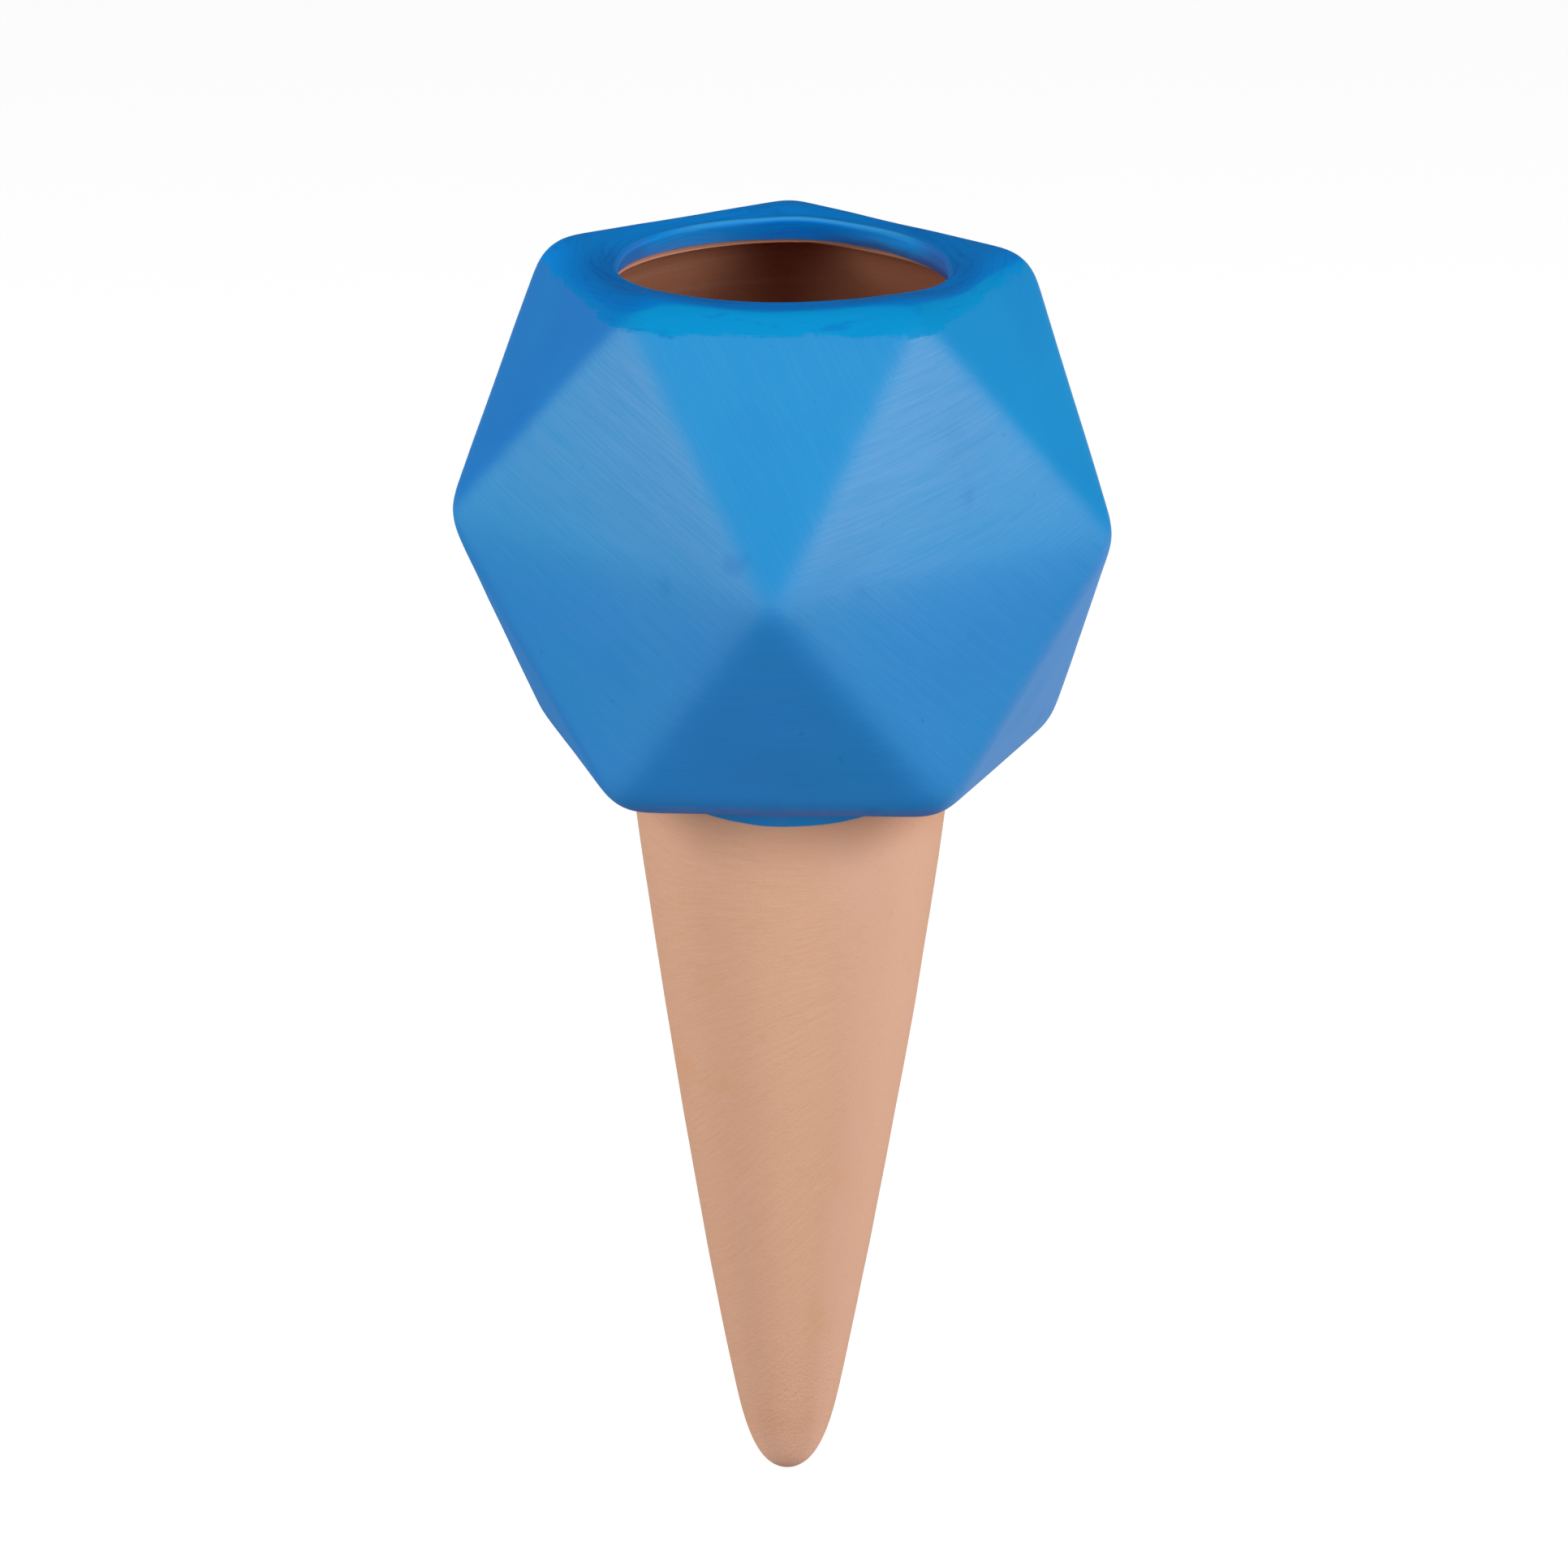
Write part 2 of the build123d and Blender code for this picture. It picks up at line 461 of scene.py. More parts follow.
def turned_clay_tree() -> GeometryTree:
    """Writes the tree that turns a half profile about the axis, as on a wheel.

    The profile's points give the reach in X and the level in Z.

    Returns:
        The tree.
    """
    sizes = ("Lean", "Wobble", "Steady above", "Wobble scale", "Seed")
    tree = GeometryTree("Turned clay", ("Columns",), sizes)
    steady_width = 12.0
    given = tree.given
    profile = given["Geometry"]
    count = tree.wire("GeometryNodeAttributeDomainSize", {"Geometry": profile}, "Point Count")
    inputs = {"Vertices": given["Columns"], "Side Segments": count - 1.0}
    sleeve = tree.wire("GeometryNodeMeshCylinder", inputs, fill_type="NONE")
    ring, _, turn = tree.rings_and_turns(given["Columns"])
    place = tree.wire("GeometryNodeInputPosition")
    inputs = {"Geometry": profile, "Value": place, "Index": ring}
    point = tree.wire("GeometryNodeSampleIndex", inputs, data_type="FLOAT_VECTOR", domain="POINT")
    reach, _, level = tree.parts(point)
    across, ahead = tree.math("SINE", turn), tree.math("COSINE", turn)
    turned = tree.moved(sleeve, to=tree.vector(across * reach, ahead * reach * -1.0, level))
    depth = given["Steady above"] - level
    free = tree.span(depth, 0.0, steady_width)
    seeded = tree.vector_math("ADD", place, tree.vector(0.0, given["Seed"], 0.0))
    uneven = (tree.noise(seeded, given["Wobble scale"]) - 0.5) * 2.0 * given["Wobble"] * free
    outward = tree.scaled(tree.vector(across, ahead * -1.0, 0.0), uneven)
    lean = tree.vector(tree.largest(depth, 0.0) * given["Lean"], 0.0, 0.0)
    tree.end(tree.moved(turned, by=tree.vector_math("ADD", outward, lean)))
    return tree


class Finish:
    """A finish: names the record's slot and makes its procedural material once."""

    slot = ""
    shine = 0.0
    depth = 0.0

    def material(self) -> Material:
        """Makes the material on first use.

        Returns:
            The finish as a material.
        """
        name = type(self).__name__
        found = bpy.data.materials.get(name)
        if found is None:
            found = bpy.data.materials.new(name)
            self.write(fresh_sketch(found))
        return found

    def write(self, sketch: NodeSketch) -> None:
        """Writes the shader into an empty tree."""
        raise NotImplementedError

    def close(self, sketch: NodeSketch, colour: Wire, rough: Wire, height: Wire) -> None:
        """Ends a shader in one Principled surface with the finish's shine and depth of relief.

        Args:
            sketch: The shader's tree.
            colour: Base colour.
            rough: Roughness.
            height: Height field of the relief.
        """
        inputs = {"Height": height, "Distance": self.depth * MM, "Strength": 1.0}
        bump = sketch.wire("ShaderNodeBump", inputs)
        inputs = {"Base Color": colour, "Roughness": rough, "Specular IOR Level": self.shine, "Normal": bump}
        surface = sketch.wire("ShaderNodeBsdfPrincipled", inputs)
        sketch.node("ShaderNodeOutputMaterial", {"Surface": surface})


@dataclass(frozen=True)
class BluePaint(Finish):
    """Hand-brushed matt blue paint, rubbed smoother on some facets with painted sheen there, painted shade on
    others, and a fresher coat round the rim.
    """

    slot = "blue_paint"
    upper: Colour = (0.007, 0.230, 0.522)
    # The lower facets are painted darker than the upper ones: painted shade.
    lower: Colour = (0.010, 0.195, 0.512)
    cloudy: Colour = (0.005, 0.207, 0.494)
    # Darker tone of the painted shade on facets that face down or away from the lamps.
    painted_shade: Colour = (0.008, 0.146, 0.490)
    # Pale tone of the painted sheen on the facets.
    sheen_colour: Colour = (0.55, 0.67, 0.90)
    rim_coat: Colour = (0.0, 0.235, 0.520)
    # Darker tone of the painted shade where the rim faces up.
    rim_top_shade: Colour = (0.0, 0.165, 0.512)
    throat: Colour = (0.0, 0.108, 0.420)
    rim_back: Colour = (0.0, 0.222, 0.660)
    mouth_back: Colour = (0.0, 0.152, 0.590)
    # Lighter tone of the painted sheen towards the wall's sides.
    mouth_side: Colour = (0.018, 0.295, 0.800)
    # Tone of the painted shade at the mouth's ends.
    mouth_end_shade: Colour = (0.036, 0.130, 0.460)
    # Tone of the painted highlight on the lip.
    lip_highlight: Colour = (0.04, 0.300, 0.640)
    # Violet tone by the free edges.
    violet: Colour = (0.13, 0.17, 0.52)
    # Tone of the painted shade along the bottom of the mouth's wall.
    shade_tone: Colour = (0.03, 0.025, 0.09)
    # Strength of the painted sheen.
    sheen_strength: float = 0.105
    rim_line: float = 73.0
    rim_blur: float = 0.3
    rim_raggedness: float = 1.5
    shine: float = 0.08
    depth: float = 0.06

    def write(self, sketch: NodeSketch) -> None:
        """Writes strokes, painted sheen and painted shade on the facets, the rim's coat with its painted
        shade and highlight, violet by the free edges and grain.

        Args:
            sketch: An empty shader tree.
        """
        ramp, span, blend, noise = sketch.ramp, sketch.span, sketch.blend, sketch.noise
        at = sketch.wire("ShaderNodeTexCoord", output="Object")
        brush = sketch.wire("ShaderNodeUVMap", uv_map=BRUSH_MAP)
        rub_and_sheen, painted_shade, top, throat = (
            sketch.wire("ShaderNodeAttribute", output="Fac", attribute_name=name)
            for name in (RUB_AND_SHEEN, PAINTED_SHADE, TOP, THROAT)
        )
        x, y, level = sketch.parts(at)
        reach = sketch.math("SQRT", x * x + y * y)
        sideways = sketch.math("ABSOLUTE", x)
        fine = noise(brush, (110.0, 2300.0, 1.0), 3.0, 0.6)
        broad = noise(brush, (50.0, 480.0, 1.0), 3.0, 0.55)
        cloud = noise(at, 38.0, 3.0, 0.55)
        drift = (noise(at, 90.0) - 0.5) * (3.0 * MM)
        ring = noise(sketch.vector(x, y, level - reach + drift), (75.0, 75.0, 1500.0), 4.0, 0.65)
        rag = noise(at, (210.0, 210.0, 105.0), 5.0, 0.68) - 0.5
        grain = noise(at, 1500.0, 2.0, 0.6)

        # Facets: clouds, painted shade on the lower facets and on those that face down or away from the
        # lamps, and painted sheen along the strokes
        body = blend(span(level, 30.0, 46.0), self.lower, self.upper)
        clouded = blend(ramp(cloud, 0.42, 0.66) * 0.6, body, self.cloudy)
        shaded_facets = blend(painted_shade * (0.7 + cloud * 0.6), clouded, self.painted_shade)
        strokes = ramp(fine * 0.72 + broad * 0.28, 0.3, 0.7)
        where = span(level, 36.0, 70.0) * 0.3 + span(sideways, 38.0, 8.0) * 0.3
        sheen_share = rub_and_sheen * (0.74 + strokes * 0.52) * (0.7 + where) * self.sheen_strength
        sheened = blend(sheen_share, shaded_facets, self.sheen_colour)

        # Rim: the fresh coat above a ragged line, darker and bluer where it faces up and by the front of the
        # lip as painted shade, with dark streaks and dabs
        line = level + rag * (self.rim_raggedness * 2 * MM) + (ring - 0.5) * (1.8 * MM)
        above = span(line, self.rim_line - self.rim_blur, self.rim_line + self.rim_blur)
        lip = ramp(throat, 0.0, 0.02)
        second = sketch.largest(above, lip)
        corners = span(x, -15.0, -26.0) * 0.3 + span(x, 15.0, 27.0) * 0.12
        ends = span(x, -4.0, -16.0) * 0.16 + span(x, 6.0, 16.0) * 0.08
        before = 0.25 + span(y, 14.0, 0.0) * 0.75
        by_lip = ramp(throat + rag * 0.3 + ends, -0.22, -0.01) * before
        facing_up = ramp(top + rag * 0.08 + corners, 0.86, 0.96)
        on_top = sketch.largest(facing_up, by_lip * 0.5)
        coated = blend(sketch.largest(on_top, lip * 0.55, painted_shade), self.rim_coat, self.rim_top_shade)
        at_back = span(y, -8.0, 8.0) * (0.4 + span(x, 8.0, -10.0) * 0.6)
        fresh = blend(at_back, coated, self.rim_back)
        dashes = ramp(ring + (cloud - 0.5) * 0.3, 0.5, 0.64) * (0.08 + on_top * 0.2 + by_lip * 0.5)
        dabs = ramp(noise(at, (170.0, 170.0, 900.0)), 0.60, 0.72) * 0.36
        dark = sketch.largest(dashes, by_lip * (0.06 + ramp(ring, 0.4, 0.6) * 0.5), dabs)
        streaked = blend(dark * (1.0 - lip), fresh, self.throat)

        # Mouth: a painted highlight on the lip behind, the wall lighter towards its sides as painted sheen,
        # and painted shade at its ends
        behind = span(y, -6.0, 8.0) * span(sideways, 21.0, 14.0)
        lip_glint = lip * ramp(throat, 0.50, 0.26) * (0.1 + behind * 0.7)
        edged = blend(lip_glint, streaked, self.lip_highlight)
        wall = blend(span(sideways, 2.0, 16.0), self.mouth_back, self.mouth_side)
        deepened = blend(ramp(throat, 0.22, 0.5) * ramp(ring, 0.84, 0.36), edged, wall)
        end = sketch.largest(span(x, 16.5, 21.5), span(x, -20.5, -23.0) * 0.6)
        shadowed = blend(end * ramp(throat, 0.02, 0.3) * 0.85, deepened, self.mouth_end_shade)
        coat = blend(second, sheened, shadowed)

        # Violet by the free edges, painted shade along the bottom of the mouth's wall on the right, smudges
        # and specks
        foot = level + rag * (3.0 * MM)
        low = span(foot, 3.2, 0.8) * span(foot, -3.0, 0.6) * 0.52
        lip_end = ramp(throat + rag * 0.5, 0.6, 1.0) * (0.05 + span(sideways, 8.0, 20.0) * 0.3)
        violet_tinted = blend(sketch.largest(low, lip_end), coat, self.violet)
        shaded = ramp(throat + rag * 0.2, 0.66, 0.95) * span(x, 1.0, 9.0) * 0.62
        edge_dark = blend(shaded, violet_tinted, self.shade_tone)
        soiled = blend(ramp(noise(at, 85.0), 0.67, 0.80) * 0.25, edge_dark, self.throat)
        colour = blend(ramp(noise(at, 520.0, 1.0), 0.75, 0.82) * 0.25, soiled, self.throat)

        rough = 0.76 - rub_and_sheen * 0.26 + second * 0.1 + (fine - 0.5) * 0.12
        height = fine * (0.2 + rub_and_sheen * 0.16) + broad * 0.07 + grain * 0.3 + second * (0.14 + ring * 0.6)
        self.close(sketch, colour, rough, height)


@dataclass(frozen=True)
class Terracotta(Finish):
    """Bare, sponged terracotta with fine wiping strokes and a sandy grain, redder and darker inside as
    painted shade, with painted shade under the reservoir, painted sheen on one side and painted light on the
    tip.
    """

    slot = "terracotta"
    ground: Colour = (0.645, 0.365, 0.238)
    warm: Colour = (0.64, 0.33, 0.185)
    pale: Colour = (0.70, 0.42, 0.31)
    dark: Colour = (0.45, 0.23, 0.14)
    # Tone of the painted shade inside.
    inside_shade: Colour = (0.56, 0.228, 0.128)
    # Tone of the painted shade on the neck under the reservoir.
    neck_shade: Colour = (0.58, 0.295, 0.185)
    # Paler tone of the painted light from the floor on the tip.
    tip_floor_light: Colour = (0.80, 0.46, 0.33)
    cut_edge: Colour = (0.60, 0.27, 0.175)
    # Tone of the painted shade on the right part of the trimmed edge.
    cut_edge_shade: Colour = (0.40, 0.165, 0.10)
    # Deeper painted shade inside, on the right.
    inside_deep_shade: Colour = (0.40, 0.13, 0.068)
    shine: float = 0.2
    depth: float = 0.10

    def write(self, sketch: NodeSketch) -> None:
        """Writes patches, the smoother band on one side with its painted sheen, wiping strokes, grain,
        painted shade under the reservoir and inside, and painted light on the tip.

        Args:
            sketch: An empty shader tree.
        """
        ramp, span, blend, noise = sketch.ramp, sketch.span, sketch.blend, sketch.noise
        at = sketch.wire("ShaderNodeTexCoord", output="Object")
        x, y, z = sketch.parts(at)
        reach = sketch.math("SQRT", x * x + y * y) + 1.0 * MM
        bend = noise(at, 22.0, 1.0) - 0.5
        slope = span(z, -2.0, -64.0) * 0.98 - 0.04
        curved = sketch.vector(x, y, z - x * slope + bend * (6.0 * MM))
        stroke = noise(curved, (190.0, 190.0, 2600.0), 4.0, 0.65)
        swirl = noise(sketch.vector(x, y, z + bend * (9.0 * MM)), (18.0, 18.0, 330.0), 3.0, 0.6)
        patch = noise(at, 70.0, 4.0, 0.6)
        mottle = noise(at, 420.0, 3.0, 0.6)
        grain = noise(at, 2300.0, 2.0, 0.6)

        # Outside: patches, the smoother band with painted sheen, strokes, painted shade on the neck under the
        # reservoir and the sandy tip, painted paler as light from the floor
        side = x / reach + bend * 0.7
        front = span(y, 2.0, -3.0) * span(z, 4.0, 0.0)
        smooth_sheen_band = ramp(side, 0.24, 0.5) * ramp(side, 1.15, 0.85) * front
        base = blend(ramp(patch, 0.56, 0.74) * 0.75, self.ground, self.warm)
        # The smoother band is also painted lighter: painted sheen.
        wiped = blend(smooth_sheen_band * 0.4, base, self.pale)
        marked = 1.0 - smooth_sheen_band * 0.7
        brushed = blend(ramp(stroke, 0.46, 0.70) * marked * 0.30, wiped, self.pale)
        scored = blend(ramp(stroke, 0.46, 0.28) * marked * 0.16, brushed, self.dark)
        mottled = blend(ramp(mottle, 0.58, 0.8) * 0.12, scored, self.dark)
        neck = span(z, -11.0, -2.5) * (0.3 + span(x, -8.0, 14.0) * 0.5)
        shade_tone = blend(neck, mottled, self.neck_shade)
        # Painted light from the floor on the tip.
        pale_tip = blend(span(z, -103.0, -114.0), shade_tone, self.tip_floor_light)
        rubbed_off = span(z, -82.0, -98.0)
        sandy = blend(ramp(grain, 0.6, 0.78) * (0.2 + rubbed_off * 0.25), pale_tip, self.dark)

        # Inside: painted shade, darker and redder, deepest on the right, wiped on the left, with a trimmed
        # edge under the paint that has painted shade on its right part
        inside = span(z, 0.5, 2.5) * span(z, 71.6, 70.6)
        wiped_left = 0.08 + span(x, 12.0, -4.0) * 0.22
        shaded_inside = blend(span(x, 5.0, 20.0) * 0.55, self.inside_shade, self.inside_deep_shade)
        inside_shade = blend(ramp(swirl, 0.5, 0.7) * wiped_left, shaded_inside, self.pale)
        edge = blend(span(x, -2.0, 12.0), self.cut_edge, self.cut_edge_shade)
        trimmed = blend(span(z, 71.3, 71.9), sandy, edge)
        colour = blend(inside, trimmed, inside_shade)

        rough = 0.84 + (stroke - 0.5) * 0.2
        height = stroke * marked * 0.5 + mottle * 0.3 + grain * (0.45 + rubbed_off * 0.5)
        self.close(sketch, colour, rough, height)


@dataclass(frozen=True)
class FiredSlip(Finish):
    """Wiped slip: finer and a little redder than the clay."""

    slot = "slip"
    ground: Colour = (0.50, 0.24, 0.14)
    streak: Colour = (0.60, 0.33, 0.21)
    shine: float = 0.25
    depth: float = 0.08

    def write(self, sketch: NodeSketch) -> None:
        """Writes wiping streaks round the ring and a fine grain.

        Args:
            sketch: An empty shader tree.
        """
        at = sketch.wire("ShaderNodeTexCoord", output="Object")
        wipe = sketch.noise(at, (60.0, 60.0, 900.0), 3.0, 0.6)
        grain = sketch.noise(at, 1800.0, 2.0, 0.6)
        colour = sketch.blend(sketch.ramp(wipe, 0.4, 0.7), self.ground, self.streak)
        rough = 0.74 + (wipe - 0.5) * 0.2
        self.close(sketch, colour, rough, wipe * 0.6 + grain * 0.4)


class Strokes(Enum):
    """How the brush went over one facet."""

    ARC = "arc"
    SLANT = "slant"


@dataclass(frozen=True)
class CornerRing:
    """Five rounded corners at one level, with the small drifts of a hand-made pot."""

    reach: float
    level: float
    turn: float
    lifts: tuple[float, ...] = (0.0,) * CORNERS
    slides: tuple[float, ...] = (0.0,) * CORNERS

    def centres(self, edge_radius: float, shift: float) -> list[Vector]:
        """Places the middles of the corners' roundings.

        Args:
            edge_radius: Radius of the rounding.
            shift: How far the whole ring stands to the side.

        Returns:
            Five points in millimetres, counted from the front towards +X.
        """
        core = self.reach - edge_radius
        points = []
        for k, (lift, slide) in enumerate(zip(self.lifts, self.slides)):
            angle = radians(self.turn + 360 / CORNERS * k)
            points.append(Vector((core * sin(angle) + slide + shift, -core * cos(angle), self.level + lift)))
        return points


@dataclass
class Facet:
    """One flat of the former, with the way the brush went over it, its rub with painted sheen, and its
    painted shade.
    """

    corners: tuple[Vector, Vector, Vector]
    strokes: Strokes
    slant: float
    rub_and_sheen: float
    painted_shade: float = 0.0

    def plane(self) -> tuple[Vector, float]:
        """Says where the flat lies.

        Returns:
            Its outward normal, and its distance from the origin.
        """
        a, b, c = self.corners
        normal = (b - a).cross(c - a).normalized()
        if normal.dot(a - Vector((0.0, 0.0, MIDDLE_LEVEL))) < 0:
            normal.negate()
        return normal, normal.dot(a)


@dataclass
class Former:
    """The faceted form: three rings of five corners with rounded edges between them.

    Each corner has four flats: a hanging one under the rim, an upper and a lower one beside
    it at the waist, and a standing one on the base.
    """

    edge_radius: float = 7.0
    shift: float = -0.4
    rim: CornerRing = CornerRing(38.6, 69.5, 36, (1.0, -1.2, 0.0, 0.0, 0.8), (-1.8, -0.6, -1.3, -1.0, 0.3))
    waist: CornerRing = CornerRing(50.0, 40.0, 0, (-2.0, -1.2, 0.0, 0.0, 1.2), (-0.1, 0.0, 0.0, 0.0, -0.5))
    base: CornerRing = CornerRing(40.5, 7.0, 36, slides=(0.9, 0.9, 0.0, 0.6, 0.0))
    hanging_slant: float = -62.0
    hanging_step: float = 23.0
    # Rub and sheen shares: smoother paint there, and painted sheen in its colour.
    hanging_rub_and_sheen: tuple[float, ...] = (0.2, 0.05, 0.15, 0.15, 0.15)
    # Shade shares: painted shade on facets that face down or away from the lamps.
    hanging_shade: tuple[float, ...] = (0.0, 0.0, 0.2, 0.4, 0.7)
    upper_arcs: tuple[int, ...] = (0, 2)
    upper_slant: float = -27.0
    upper_rub_and_sheen: tuple[float, ...] = (1.15, 1.0, 1.0, 1.0, 1.0)
    lower_slants: tuple[float, ...] = (-42.0, 24.0, -12.0, 35.0, -30.0)
    lower_rub_and_sheen: float = 0.45
    standing_slant: float = 4.0
    standing_rub_and_sheen: tuple[float, ...] = (0.2, 0.95, 0.2, 0.2, 0.2)
    standing_shade: float = 0.3

    def rings(self) -> tuple[list[Vector], list[Vector], list[Vector]]:
        """Corner centres of the rim, the waist and the base."""
        return tuple(ring.centres(self.edge_radius, self.shift) for ring in (self.rim, self.waist, self.base))

    def corners(self) -> list[Vector]:
        """All corner centres in metres."""
        return [point * MM for ring in self.rings() for point in ring]

    def facets(self) -> list[Facet]:
        """Lists the flats round the sides, with their brush strokes.

        Returns:
            Four facets for each corner of a ring.
        """
        rim, waist, base = self.rings()
        slanted = Strokes.SLANT
        flats = []
        for k in range(CORNERS):
            after, before = (k + 1) % CORNERS, (k - 1) % CORNERS
            slant = self.hanging_slant + self.hanging_step * k
            marks = (self.hanging_rub_and_sheen[k], self.hanging_shade[k])
            flats.append(Facet((waist[k], rim[before], rim[k]), slanted, slant, *marks))
            upper = Strokes.ARC if k in self.upper_arcs else slanted
            corners = (waist[k], waist[after], rim[k])
            flats.append(Facet(corners, upper, self.upper_slant, self.upper_rub_and_sheen[k]))
            corners = (waist[k], waist[after], base[k])
            flats.append(Facet(corners, slanted, self.lower_slants[k], self.lower_rub_and_sheen))
            marks = (self.standing_rub_and_sheen[k], self.standing_shade)
            flats.append(Facet((waist[k], base[before], base[k]), slanted, self.standing_slant, *marks))
        return flats


def values_of(items: bpy_prop_collection, name: str, width: int, kind: type) -> np.ndarray:
    """Reads one property of all items of a mesh.

    Args:
        items: The mesh's vertices, loops or faces.
        name: Name of the property.
        width: Numbers in one value.
        kind: Kind of number.

    Returns:
        One number for each item, or one row of numbers.
    """
    values = np.empty(len(items) * width, kind)
    items.foreach_get(name, values)
    return values.reshape(-1, width) if width > 1 else values


@dataclass
class BrushMap:
    """Lays a map in metres along and across the brush strokes of each facet."""

    facets: list[Facet]
    arc_tilt: float = 0.1
    arc_bow: float = 0.0035
    facet_gap: float = 310.0
    rim_core: float = 69.5
    base_core: float = 7.0
    base_rub_and_sheen: float = 0.1
    edge_blend: float = 0.45

    def lay(self, mesh: Mesh) -> None:
        """Adds the map to a mesh.

        Args:
            mesh: A skin that was pressed onto these facets.
        """
        corners = values_of(mesh.loops, "vertex_index", 1, np.int32)
        points = values_of(mesh.vertices, "co", 3, np.float32)[corners] / MM
        middles = values_of(mesh.polygons, "center", 3, np.float32)
        totals = values_of(mesh.polygons, "loop_total", 1, np.int32)
        planes = [facet.plane() for facet in self.facets]
        normals = np.array([plane[0] for plane in planes])
        heights = np.array([plane[1] for plane in planes])
        nearest = np.argmax(middles / MM @ normals.T - heights, axis=1)
        of_loop = np.repeat(nearest, totals)
        places = np.zeros((len(corners), 2))
        for number, facet in enumerate(self.facets):
            chosen = of_loop == number
            places[chosen] = self.along_and_across(facet, normals[number], points[chosen])
            places[chosen, 0] += number * self.facet_gap
        layer = mesh.uv_layers.new(name=BRUSH_MAP)
        layer.data.foreach_set("uv", (places * MM).astype(np.float32).ravel())
        self.mark(mesh, normals, heights)

    def mark(self, mesh: Mesh, normals: np.ndarray, heights: np.ndarray) -> None:
        """Says how much rub with painted sheen and how much painted shade each point has, with soft changes
        over the edges.

        Args:
            mesh: The skin.
            normals: Outward normals of the facets.
            heights: Distances of the facets from the origin.
        """
        points = values_of(mesh.vertices, "co", 3, np.float32) / MM
        level = points[:, 2:]
        above = np.hstack([points @ normals.T - heights, level - self.rim_core, self.base_core - level])
        share = np.exp((above - above.max(1, keepdims=True)) / self.edge_blend)
        share /= share.sum(1, keepdims=True)
        facing = values_of(mesh.vertex_normals, "vector", 3, np.float32)[:, 2]
        marks = {
            RUB_AND_SHEEN: share @ np.array([*(facet.rub_and_sheen for facet in self.facets), 0.0, self.base_rub_and_sheen]),
            PAINTED_SHADE: share @ np.array([*(facet.painted_shade for facet in self.facets), 0.0, 0.0]),
            TOP: np.where(level[:, 0] > self.rim_core, facing, 0.0),
        }
        for name, values in marks.items():
            layer = mesh.attributes.new(name, "FLOAT", "POINT")
            layer.data.foreach_set("value", values.astype(np.float32))

    def along_and_across(self, facet: Facet, normal: np.ndarray, points: np.ndarray) -> np.ndarray:
        """Measures points along and across one facet's strokes.

        Args:
            facet: The facet.
            normal: Its outward normal.
            points: Points on it, in millimetres.

        Returns:
            Two lengths for each point.
        """
        level = np.cross((0.0, 0.0, 1.0), normal)
        level /= np.linalg.norm(level)
        rise = np.cross(normal, level)
        from_pivot = points - np.array(facet.corners[0])
        if facet.strokes is Strokes.ARC:
            x, y = from_pivot @ level, from_pivot @ rise
            return np.stack([x, y - self.arc_tilt * x - self.arc_bow * x * x], 1)
        angle = radians(facet.slant)
        along = level * cos(angle) + rise * sin(angle)
        across = rise * cos(angle) - level * sin(angle)
        return np.stack([from_pivot @ along, from_pivot @ across], 1)


def face_outwards(work: bmesh.types.BMesh) -> None:
    """Turns the faces of a closed mesh outwards.

    Args:
        work: The mesh, which is changed in place.
    """
    bmesh.ops.recalc_face_normals(work, faces=work.faces)
    if work.calc_volume(signed=True) < 0:
        bmesh.ops.reverse_faces(work, faces=work.faces)


def closed_shell(name: str, outer: Mesh, inner: Mesh, columns: int) -> Object:
    """Joins two open skins into one closed wall.

    Args:
        name: Name of the piece.
        outer: Outside skin, its vertices in rings.
        inner: Inside skin, with as many vertices in a ring.
        columns: Vertices in one ring.

    Returns:
        The piece, smooth but for the two free edges.
    """
    shell = bmesh.new()
    shell.from_mesh(outer)
    first = len(shell.verts)
    shell.from_mesh(inner)
    shell.verts.ensure_lookup_table()
    total = len(shell.verts)
    bmesh.ops.reverse_faces(shell, faces=[f for f in shell.faces if f.verts[0].index >= first])
    for one, two in ((0, first), (first - columns, total - columns)):
        for k in range(columns):
            after = (k + 1) % columns
            places = (one + k, one + after, two + after, two + k)
            face = shell.faces.new([shell.verts[place] for place in places])
            face.smooth = True
            for edge in face.edges:
                low, high = sorted(v.index for v in edge.verts)
                if (low < first) == (high < first):
                    edge.smooth = False
    face_outwards(shell)
    shell.to_mesh(outer)
    shell.free()
    bpy.data.meshes.remove(inner)
    return as_piece(name, outer)


def as_piece(name: str, mesh: Mesh) -> Object:
    """Links a mesh as an object at the origin, under the piece's name."""
    mesh.name = name
    return linked(name, mesh)


def settle(piece: Object, node: str, finish: Finish) -> None:
    """Dresses a piece, makes it stand for its CAD node and reports it.

    Args:
        piece: The finished piece.
        node: Name of the CAD node.
        finish: The finish that it wears.
    """
    piece.data.materials.clear()
    piece.data.materials.append(finish.material())
    piece.data.polygons.foreach_set("material_index", [0] * len(piece.data.polygons))
    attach(piece, BODY)
    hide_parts(node)
    log.info("%s: %d faces, %s", piece.name, len(piece.data.polygons), finish.slot)


